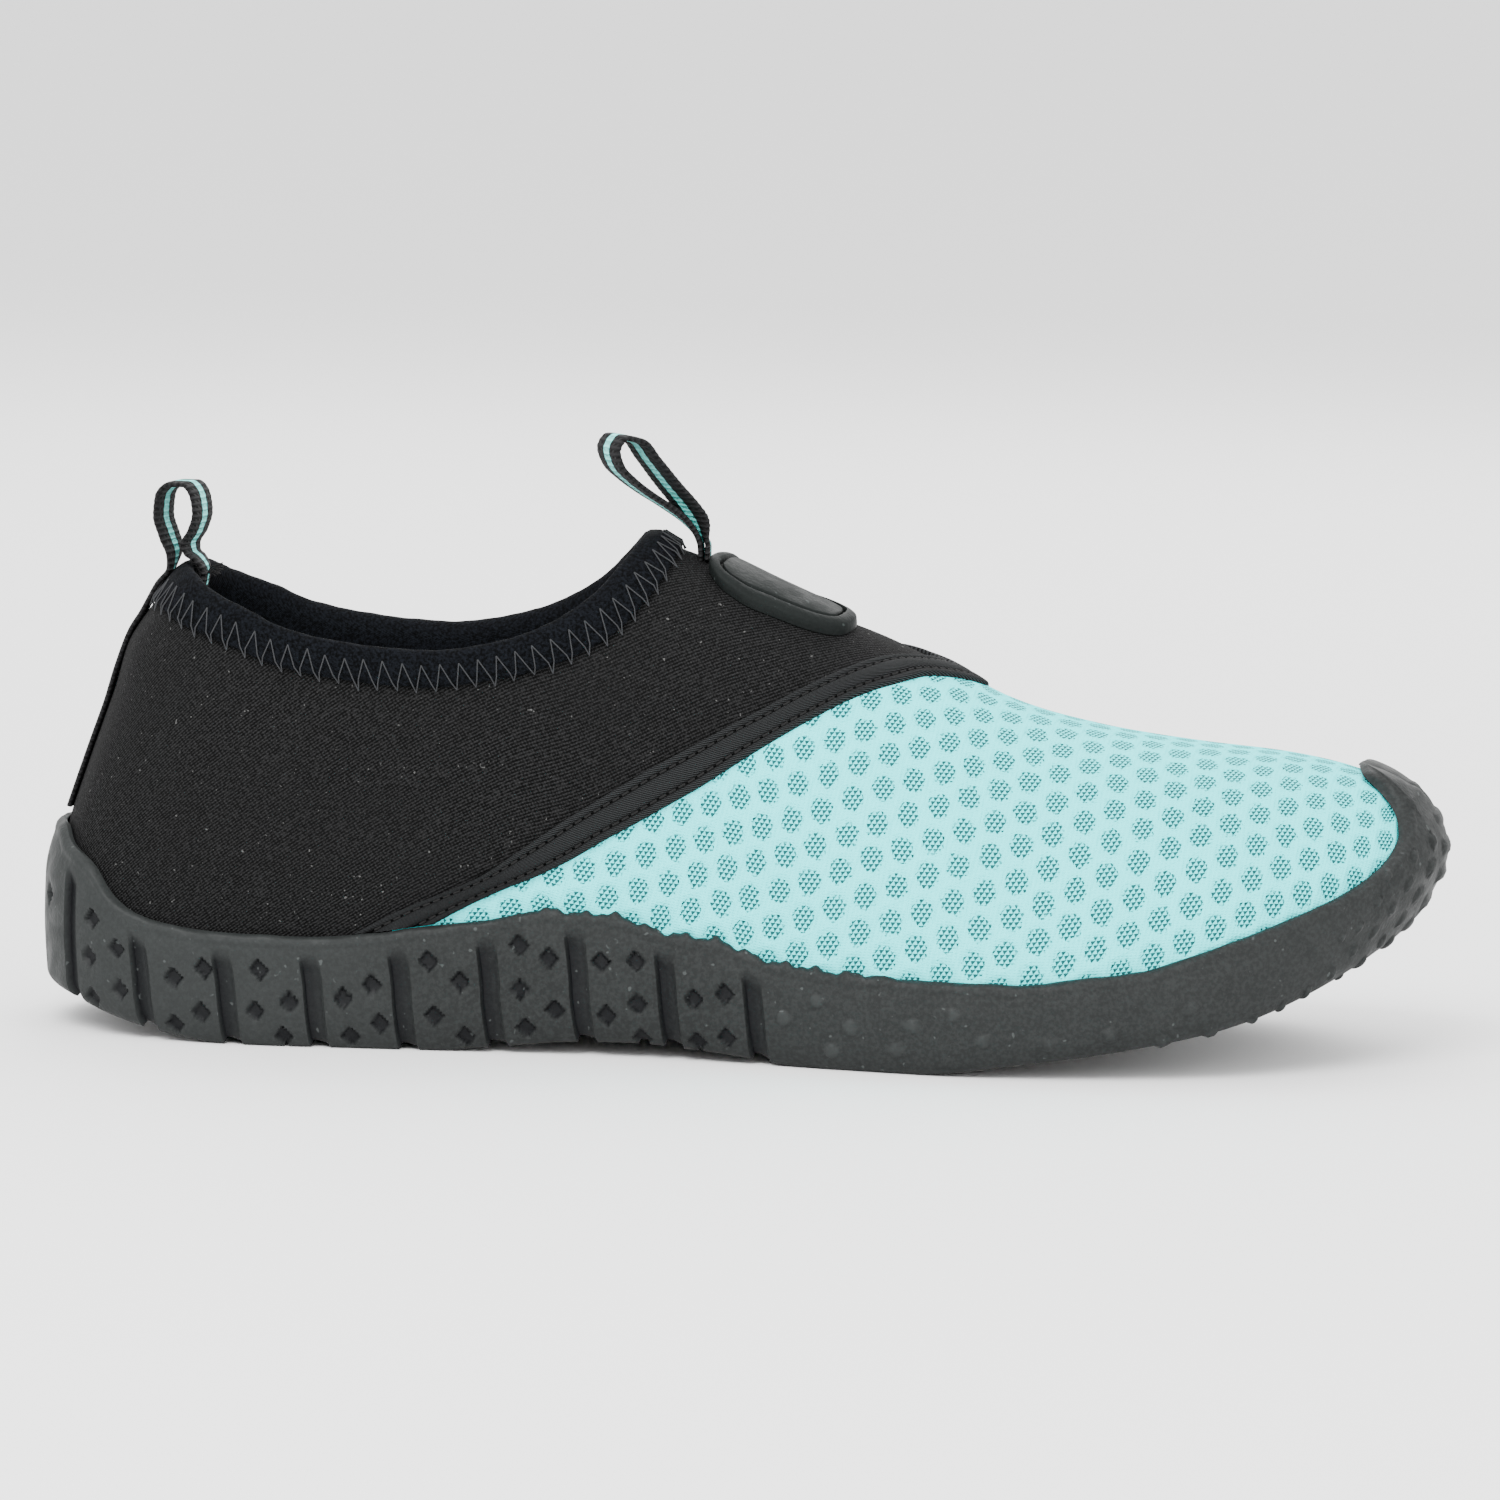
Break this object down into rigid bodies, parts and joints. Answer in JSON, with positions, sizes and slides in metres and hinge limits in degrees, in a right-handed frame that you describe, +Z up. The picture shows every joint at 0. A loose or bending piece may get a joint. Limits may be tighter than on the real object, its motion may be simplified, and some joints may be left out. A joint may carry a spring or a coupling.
{
  "type": "water shoe",
  "caption": "Slip-on water shoe for the right foot: grooved rubber cup sole, hollow neoprene and mesh upper, bound collar, two finger loops and a rubber badge.",
  "frame": {"origin": "on the floor, under the middle of the shoe's box", "axes": "+X from heel to toe, -Y to the outer (lateral) side of the right foot, +Z up"},
  "size_m": [0.2617, 0.0937, 0.1109],
  "materials": {
    "moulded_rubber": "matt, fine grain",
    "foam": "black fabric over foam",
    "neoprene": "fine ribbed knit over neoprene; the vamp in front of the seam tape is aqua spacer mesh",
    "binding_jersey": "navy-black stretch jersey",
    "woven_tape": "dark grey woven tape",
    "striped_tape": "black woven tape with a mint stripe",
    "badge_rubber": "satin soft rubber"
  },
  "bodies": {
    "root": {"outsole": "moulded_rubber", "insole": "foam", "upper": "neoprene", "collar_binding": "binding_jersey", "seam_tape": "woven_tape", "heel_pull_tape": "striped_tape", "instep_pull_loop": "striped_tape", "badge": "badge_rubber"}
  },
  "joints": []
}
